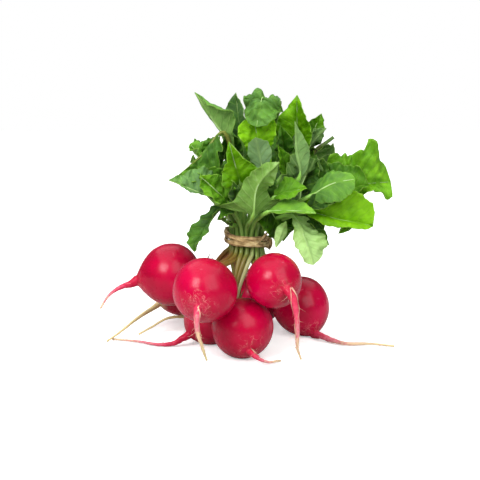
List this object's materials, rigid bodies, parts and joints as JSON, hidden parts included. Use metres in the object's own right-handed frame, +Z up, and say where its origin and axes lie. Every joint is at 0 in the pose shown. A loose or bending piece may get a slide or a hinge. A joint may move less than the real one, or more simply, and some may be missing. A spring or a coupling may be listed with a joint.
{
  "type": "bunch of radishes",
  "caption": "Bunch of round red radishes with long taproots, tied round their leaf stalks with raffia and standing on its bulbs under a spray of toothed green leaves.",
  "frame": {"origin": "middle of the bounding box at the height of the table", "axes": "+Z up, +X to the right and -Y towards the viewer, with the bunch seen from its front"},
  "size_m": [0.1531, 0.1219, 0.1305],
  "materials": {
    "radish_skin": "smooth, slightly waxy red skin",
    "radish_leaf": "matt to satin green leaf",
    "raffia": "dry tan raffia fibre"
  },
  "bodies": {
    "root": {"radish_front": "radish_skin", "radish_front_left": "radish_skin", "radish_front_right": "radish_skin", "radish_right": "radish_skin", "radish_left": "radish_skin", "radish_low_left": "radish_skin", "radish_back": "radish_skin", "radish_back_left": "radish_skin", "tops_front": "radish_leaf", "tops_front_left": "radish_leaf", "tops_front_right": "radish_leaf", "tops_right": "radish_leaf", "tops_left": "radish_leaf", "tops_low_left": "radish_leaf", "tops_back": "radish_leaf", "tops_back_left": "radish_leaf", "raffia_tie": "raffia"}
  },
  "joints": []
}
